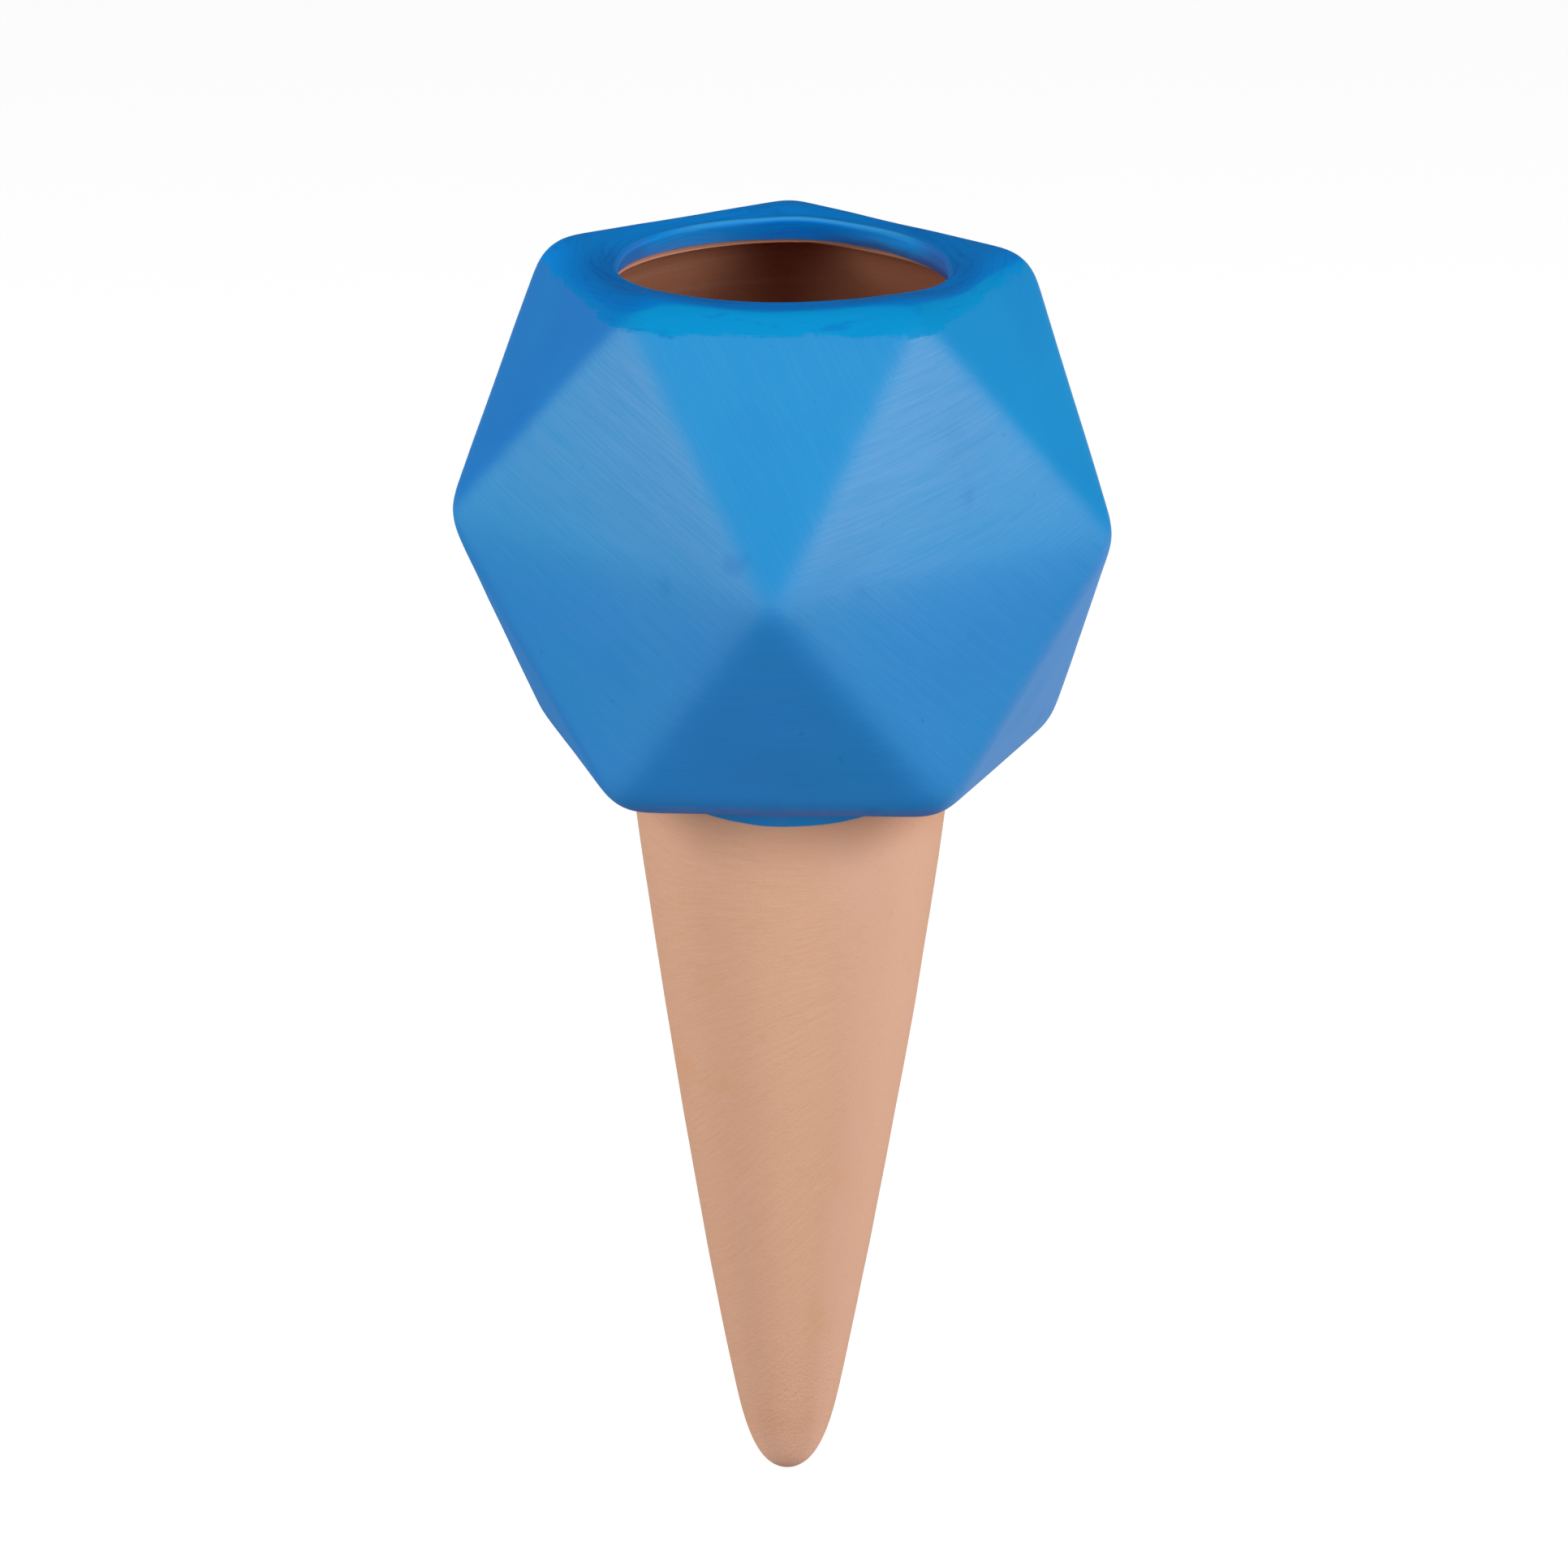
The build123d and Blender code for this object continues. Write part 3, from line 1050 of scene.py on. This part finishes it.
@dataclass
class Reservoir:
    """The painted clay reservoir: clay wall and paint coat, pressed on one former."""

    former: Former
    clay: Finish
    paint: Finish
    rim_level: float = 76.5
    mouth_radius: float = 23.0
    lip_radius: float = 0.7
    paint_thickness: float = 0.25
    paint_gap: float = 0.02
    wall: float = 3.8
    neck_radius: float = 24.09
    neck_fillet: float = 0.8
    neck_taper: float = 0.123
    paint_drop: float = 2.2
    paint_wave: float = 0.9
    mouth_drop: float = 4.1
    mouth_lift: float = 1.0
    mouth_flare: float = 0.24
    mouth_shift: float = 0.75
    mouth_forward: float = 1.0
    mouth_stretch: float = 0.75
    mouth_fullness: float = 3.6
    mouth_dip: float = 0.72
    mouth_unevenness: float = 1.2
    bare_edge: float = 0.55
    bare_step: float = 0.3
    raggedness: float = 0.7
    chamfer: float = 0.5
    floor_bore_radius: float = 22.0
    softening: int = 9
    pillow: float = 0.5
    wobble: float = 0.22
    seed: float = 4.0
    paint_columns: int = 300
    paint_rows: int = 150
    lining_rows: int = 70
    paint_neck_rows: int = 12
    paint_mouth_rows: int = 20
    clay_columns: int = 220
    clay_rows: int = 90
    clay_mouth_rows: int = 16
    tree: GeometryTree = field(default_factory=pressed_skin_tree)

    def aim(self, reach: float, level: float) -> float:
        """Angle of a ray from the middle to a point, in radians above the level."""
        return atan2(level - MIDDLE_LEVEL, reach)

    def skin(self, name: str, inset: float, low: float, high: float, finish: Finish, sizes: dict) -> Mesh:
        """Presses one open skin.

        Args:
            name: Name of the mesh.
            inset: How far it lies inside the paint's face.
            low: Angle of its lowest ray.
            high: Angle of its highest ray.
            finish: The finish that it wears.
            sizes: Inputs of the tree that this skin sets for itself.

        Returns:
            The skin.
        """
        plain = {
            "Edge radius": (self.former.edge_radius - inset) * MM,
            "Middle level": MIDDLE_LEVEL * MM,
            "Low aim": low,
            "High aim": high,
            "Mouth shift": radians(self.mouth_shift),
            "Mouth forward": radians(self.mouth_forward),
            "Mouth stretch": radians(self.mouth_stretch),
            "Mouth fullness": radians(self.mouth_fullness),
            "Mouth dip": self.mouth_dip * MM,
            "Mouth unevenness": radians(self.mouth_unevenness),
            "Neck rows": 0,
            "Neck radius": (self.neck_radius - inset) * MM,
            "Neck fillet": self.neck_fillet * MM,
            "Neck drop": self.paint_drop * MM,
            "Neck taper": self.neck_taper,
            "Neck wave": self.paint_wave * MM,
            "Mouth rows": 0,
            "Lip radius": (self.lip_radius - inset) * MM,
            "Mouth drop": (self.mouth_drop - inset) * MM,
            "Mouth lift": self.mouth_lift * MM,
            "Mouth flare": self.mouth_flare,
            "Bare edge": 0.0,
            "Raggedness": 0.0,
            "Softening": self.softening,
            "Pillow": self.pillow * MM,
            "Wobble": self.wobble * MM,
            "Seed": self.seed,
            "Material": finish.material(),
        }
        return self.tree.make(name, self.former.corners(), plain | sizes)

    def build_paint(self) -> Object:
        """Makes the paint coat, a thin closed skin with ragged free edges.

        Returns:
            The piece.
        """
        sizes = {
            "Columns": self.paint_columns,
            "Neck rows": self.paint_neck_rows,
            "Mouth rows": self.paint_mouth_rows,
            "Bare edge": self.bare_edge * MM,
            "Raggedness": self.raggedness * MM,
        }
        layers = []
        face = ("coat", 0.0, self.paint_rows)
        back = ("coat_back", self.paint_thickness, self.lining_rows)
        for name, inset, rows in (face, back):
            low = self.aim(self.neck_radius + self.neck_fillet - inset, inset)
            high = self.aim(self.mouth_radius + self.lip_radius, self.rim_level - inset)
            layers.append(self.skin(name, inset, low, high, self.paint, sizes | {"Body rows": rows}))
        piece = closed_shell("paint_coat_skin", *layers, self.paint_columns)
        BrushMap(self.former.facets()).lay(piece.data)
        settle(piece, "paint_coat", self.paint)
        return piece

    def build_clay(self) -> Object:
        """Makes the clay wall, open at the mouth and at the spike's bore.

        Returns:
            The piece.
        """
        under_paint = self.paint_thickness + self.paint_gap
        inside = under_paint + self.wall
        grid = {"Columns": self.clay_columns, "Body rows": self.clay_rows}
        outer_mouth = self.mouth_radius + self.lip_radius - self.bare_step
        inner_mouth = self.mouth_radius + under_paint + self.chamfer
        face = ("clay_outside", under_paint, outer_mouth, grid | {"Mouth rows": self.clay_mouth_rows})
        back = ("clay_inside", inside, inner_mouth, grid)
        layers = []
        for name, inset, reach, sizes in (face, back):
            low = self.aim(self.floor_bore_radius, inset)
            high = self.aim(reach, self.rim_level - inset)
            layers.append(self.skin(name, inset, low, high, self.clay, sizes))
        piece = closed_shell("bowl_clay", *layers, self.clay_columns)
        settle(piece, "bowl", self.clay)
        return piece


def arc(start: Point, end: Point, rise: float, count: int) -> list[Point]:
    """Points on a circular arc.

    Args:
        start: First point.
        end: Last point.
        rise: How far the arc stands out to the right of its chord.
        count: Number of steps.

    Returns:
        The points, both ends among them.
    """
    a, b = Vector(start), Vector(end)
    chord = b - a
    along = chord.normalized()
    right = Vector((chord.y, -chord.x)).normalized()
    half = chord.length / 2
    radius = (half * half + rise * rise) / (2 * rise)
    middle = (a + b) / 2 - right * (radius - rise)
    reach = atan2(half, radius - rise)
    points = []
    for k in range(count + 1):
        angle = reach * (2 * k / count - 1)
        points.append(tuple(middle + right * (radius * cos(angle)) + along * (radius * sin(angle))))
    return points


@dataclass
class TurnedPiece:
    """A closed piece that is turned on the wheel from a half profile."""

    name = ""
    node = ""
    finish: Finish
    columns: int = 180
    lean: float = 0.0
    wobble: float = 0.12
    steady_above: float = 30.0
    wobble_scale: float = 160.0
    seed: float = 7.0

    def profile(self) -> list[Point]:
        """The half profile, as reach and level."""
        raise NotImplementedError

    def build(self, tree: GeometryTree) -> Object:
        """Turns the piece.

        Args:
            tree: The tree of turned pieces.

        Returns:
            The piece.
        """
        sizes = {
            "Columns": self.columns,
            "Lean": self.lean,
            "Wobble": self.wobble * MM,
            "Steady above": self.steady_above * MM,
            "Wobble scale": self.wobble_scale,
            "Seed": self.seed,
            "Material": self.finish.material(),
        }
        points = [Vector((reach, 0.0, level)) * MM for reach, level in self.profile()]
        mesh = tree.make(self.name, points, sizes)
        work = bmesh.new()
        work.from_mesh(mesh)
        bmesh.ops.remove_doubles(work, verts=work.verts, dist=WELD)
        face_outwards(work)
        work.to_mesh(mesh)
        work.free()
        piece = as_piece(self.name, mesh)
        settle(piece, self.node, self.finish)
        return piece


@dataclass
class Spike(TurnedPiece):
    """The hollow tapered clay spike with a register that stands in the reservoir's floor."""

    name = "spike_clay"
    node = "spike"
    columns: int = 260
    lean: float = -0.0044
    wobble: float = 0.28
    steady_above: float = -4.0
    wobble_scale: float = 28.0
    seed: float = 2.0
    top_radius: float = 23.9
    shoulder_level: float = -0.15
    register_radius: float = 21.6
    register_top: float = 4.05
    register_chamfer: float = 0.3
    bore_chamfer: float = 0.4
    nose_radius: float = 8.1
    nose_level: float = -98.5
    nose_pull: float = 7.5
    tip_level: float = -113.5
    tip_pull: float = 4.9
    flank_bulge: float = 0.93
    bore_top_radius: float = 19.4
    bore_end_radius: float = 3.6
    bore_end_level: float = -101.5
    flank_steps: int = 90
    nose_steps: int = 36
    bore_steps: int = 40
    end_steps: int = 8

    def profile(self) -> list[Point]:
        """Draws the half profile from the tip up the outside, over the register and down the bore.

        Returns:
            Its points, as reach and level.
        """
        nose = (self.nose_radius, self.nose_level)
        shoulder = (self.top_radius, self.shoulder_level)
        flank = arc(nose, shoulder, self.flank_bulge, self.flank_steps)
        register = [
            (self.register_radius, self.shoulder_level),
            (self.register_radius, self.register_top - self.register_chamfer),
            (self.register_radius - self.register_chamfer, self.register_top),
            (self.bore_top_radius + self.bore_chamfer, self.register_top),
            (self.bore_top_radius, self.register_top - self.bore_chamfer),
        ]
        start = Vector((self.bore_top_radius, self.shoulder_level))
        stop = Vector((self.bore_end_radius, self.nose_level))
        bore = [tuple(start.lerp(stop, k / self.bore_steps)) for k in range(self.bore_steps + 1)]
        depth = self.bore_end_level - self.nose_level
        turns = [pi / 2 * k / self.end_steps for k in range(1, self.end_steps + 1)]
        end = [(self.bore_end_radius * cos(a), self.nose_level + depth * sin(a)) for a in turns]
        return self.nose_curve(flank)[:-1] + flank + register + bore + end

    def nose_curve(self, flank: list[Point]) -> list[Point]:
        """Rounds the nose off from the axis to the start of the flank.

        Args:
            flank: The flank's points, lowest first.

        Returns:
            The points, from the tip up to the flank.
        """
        joint = Vector(flank[0])
        along = (joint - Vector(flank[1])).normalized()
        tip = Vector((0.0, self.tip_level))
        pulls = (tip, tip + Vector((self.tip_pull, 0.0)), joint + along * self.nose_pull, joint)
        points = []
        for k in range(self.nose_steps + 1):
            t = k / self.nose_steps
            weights = ((1 - t) ** 3, 3 * t * (1 - t) ** 2, 3 * t * t * (1 - t), t**3)
            points.append(tuple(sum((p * w for p, w in zip(pulls, weights)), Vector((0.0, 0.0)))))
        return points


@dataclass
class SlipJoint(TurnedPiece):
    """The ring of fired slip between spike and reservoir, wiped into a low bead on the floor."""

    name = "slip_bead"
    node = "slip_joint"
    inner_radius: float = 21.6
    outer_radius: float = 22.0
    skirt_radius: float = 23.85
    skirt_bottom: float = -0.14
    skirt_top: float = 0.22
    floor_level: float = 4.05
    bead: float = 0.9
    bead_inner_radius: float = 20.6
    bead_rise: float = 0.35
    bead_sink: float = 0.05
    bead_steps: int = 12

    def profile(self) -> list[Point]:
        """Draws the closed profile: the skirt under the floor, up the joint and over the bead.

        Returns:
            Its points, as reach and level.
        """
        top = self.floor_level - self.bead_sink
        bead_start = (self.outer_radius + self.bead, top)
        return [
            (self.inner_radius, self.skirt_bottom),
            (self.skirt_radius, self.skirt_bottom),
            (self.skirt_radius, self.skirt_top),
            (self.outer_radius, self.skirt_top),
            (self.outer_radius, top),
            *arc(bead_start, (self.bead_inner_radius, top), self.bead_rise, self.bead_steps),
            (self.inner_radius, top),
            (self.inner_radius, self.skirt_bottom),
        ]


@dataclass
class SoftBox:
    """A large soft lamp, placed by its direction from the object."""

    name: str
    azimuth: float
    elevation: float
    distance: float
    width: float
    height: float
    power: float

    def place(self) -> None:
        """Adds the lamp, facing the object."""
        lamp = bpy.data.lights.new(self.name, "AREA")
        lamp.shape = "RECTANGLE"
        lamp.size = self.width
        lamp.size_y = self.height
        lamp.energy = self.power
        box = linked(self.name, lamp)
        way = direction(self.azimuth, self.elevation)
        box.location = way * self.distance
        box.rotation_euler = (-way).to_track_quat("-Z", "Y").to_euler()


def direction(azimuth: float, elevation: float) -> Vector:
    """Unit vector from the object, with azimuth 0 at the front and +90 at +X, in degrees."""
    a, e = radians(azimuth), radians(elevation)
    return Vector((sin(a) * cos(e), -cos(a) * cos(e), sin(e)))


@dataclass
class Studio:
    """White studio: floor, world, soft boxes and the camera of the photograph."""

    floor_level: float = -114.0
    floor_side: float = 14.0
    floor_glow: float = 0.87
    floor_grey: float = 0.28
    ambient: float = 0.18
    camera_azimuth: float = 2.74
    camera_elevation: float = 18.3
    camera_distance: float = 1250.0
    camera_reach: float = 100.0
    pixels_per_mm: float = 8.324
    target_level: float = -4.44
    target_side: float = -1.0
    lamps: tuple[SoftBox, ...] = (
        SoftBox("left_box", -54.0, 18.0, 1.3, 0.6, 1.1, 15.6),
        SoftBox("right_box", 60.0, 18.0, 1.3, 0.6, 1.1, 18.0),
    )

    def build(self) -> None:
        """Makes the whole studio."""
        self.build_world()
        self.build_floor()
        self.build_camera()
        for lamp in self.lamps:
            lamp.place()
        bpy.context.scene.view_settings.view_transform = "Standard"

    @staticmethod
    def seen(sketch: NodeSketch) -> Wire:
        """Tells what the camera sees from what only lights the object.

        Args:
            sketch: The shader's tree.

        Returns:
            1 for what is seen, straight, mirrored or through glass, and 0 for light.
        """
        path = sketch.node("ShaderNodeLightPath")
        kinds = ("Camera", "Glossy", "Transmission")
        return sketch.largest(*(Wire(sketch, path.outputs[f"Is {kind} Ray"]) for kind in kinds))

    def build_world(self) -> None:
        """Makes the world: white to look at, a weak even light on the object."""
        world = bpy.data.worlds.new("studio")
        bpy.context.scene.world = world
        sketch = fresh_sketch(world)
        level = self.ambient + self.seen(sketch) * (1.0 - self.ambient)
        light = sketch.wire("ShaderNodeBackground", {"Color": (1.0, 1.0, 1.0, 1.0), "Strength": level})
        sketch.node("ShaderNodeOutputWorld", {"Surface": light})

    def build_floor(self) -> None:
        """Makes the pale floor, which keeps the object's shadow."""
        half = self.floor_side / 2
        level = self.floor_level * MM
        corners = [(-half, -half, level), (half, -half, level), (half, half, level), (-half, half, level)]
        mesh = bpy.data.meshes.new("floor")
        mesh.from_pydata(corners, [], [(0, 1, 2, 3)])
        material = bpy.data.materials.new("pale_floor")
        sketch = fresh_sketch(material)
        glow = sketch.wire("ShaderNodeEmission", {"Strength": self.seen(sketch) * self.floor_glow})
        grey = (self.floor_grey, self.floor_grey, self.floor_grey, 1.0)
        matt = sketch.wire("ShaderNodeBsdfDiffuse", {"Color": grey})
        both = sketch.wire("ShaderNodeAddShader", {0: glow, 1: matt})
        sketch.node("ShaderNodeOutputMaterial", {"Surface": both})
        mesh.materials.append(material)
        as_piece("floor", mesh)

    def build_camera(self) -> None:
        """Makes the camera as fitted to the photograph."""
        camera = bpy.data.cameras.new("camera")
        camera.sensor_width = SENSOR_WIDTH
        camera.lens = self.pixels_per_mm * self.camera_distance * SENSOR_WIDTH / PHOTO_SIDE
        camera.clip_end = self.camera_reach
        eye = linked("camera", camera)
        way = direction(self.camera_azimuth, self.camera_elevation)
        side = direction(self.camera_azimuth + 90.0, 0.0)
        target = side * self.target_side + Vector((0.0, 0.0, self.target_level))
        eye.location = (target + way * self.camera_distance) * MM
        eye.rotation_euler = (-way).to_track_quat("-Z", "Y").to_euler()
        bpy.context.scene.camera = eye


def main() -> None:
    """Builds the pieces in order, then the studio."""
    logging.basicConfig(level=logging.INFO, format="%(message)s")
    clay, paint, slip = Terracotta(), BluePaint(), FiredSlip()
    turned = turned_clay_tree()
    reservoir = Reservoir(Former(), clay, paint)
    reservoir.build_clay()
    reservoir.build_paint()
    Spike(clay).build(turned)
    SlipJoint(slip).build(turned)
    Studio().build()


if __name__ == "__main__":
    main()
